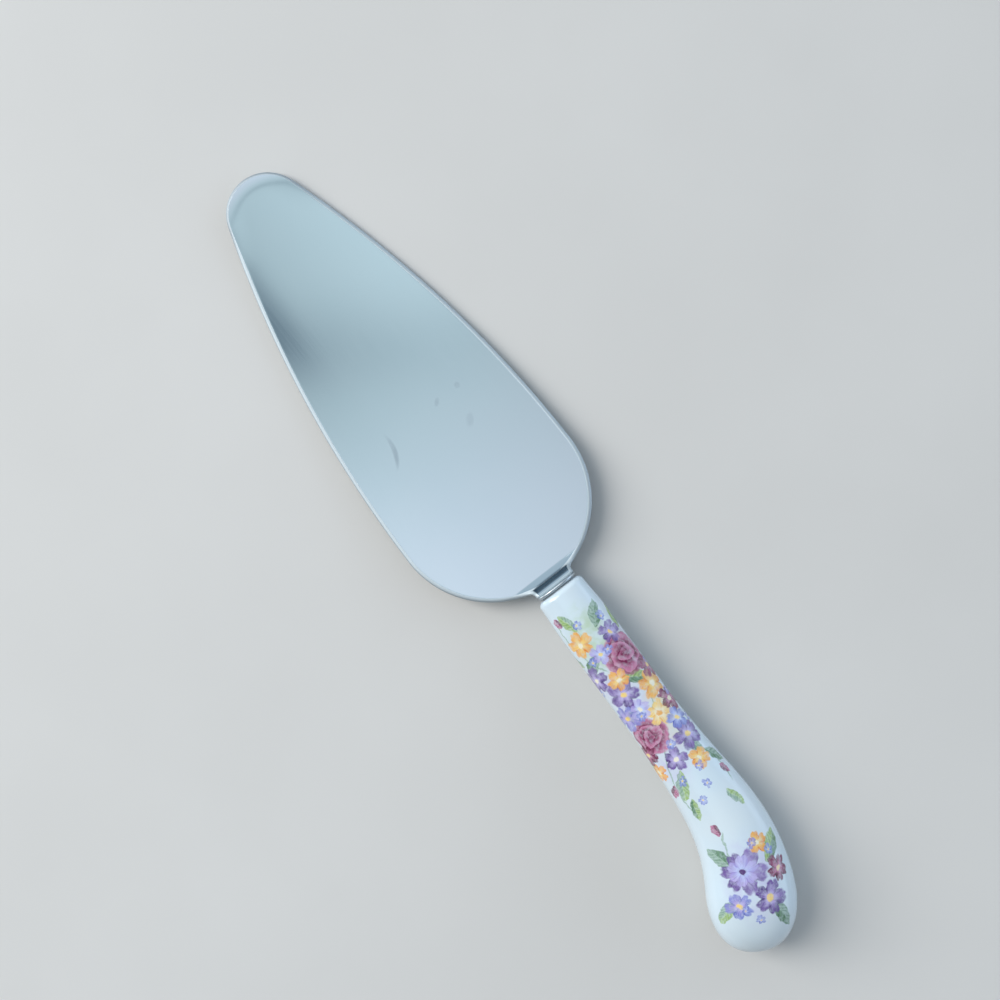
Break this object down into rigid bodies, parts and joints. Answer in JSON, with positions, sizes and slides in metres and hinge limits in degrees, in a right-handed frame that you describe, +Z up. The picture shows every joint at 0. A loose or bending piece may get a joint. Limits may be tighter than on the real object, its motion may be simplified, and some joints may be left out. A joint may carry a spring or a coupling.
{
  "type": "cake server",
  "caption": "Cake server with a dished, round-tipped steel blade, a cranked neck, a slim collar and a hollow pistol-grip porcelain handle for lifting slices of cake.",
  "frame": {"origin": "middle of the bounding box, on the plane that the server lies on", "axes": "+X from the handle to the blade's tip, +Y to the side that the butt turns to, +Z up from the plane that the server lies on"},
  "size_m": [0.2546, 0.056, 0.0199],
  "materials": {
    "steel": "satin, with polished edges",
    "collar_steel": "polished",
    "cement": "matt",
    "porcelain": "gloss glaze over flower prints"
  },
  "bodies": {
    "root": {"blade": "steel", "collar": "collar_steel", "cement": "cement", "handle": "porcelain"}
  },
  "joints": []
}
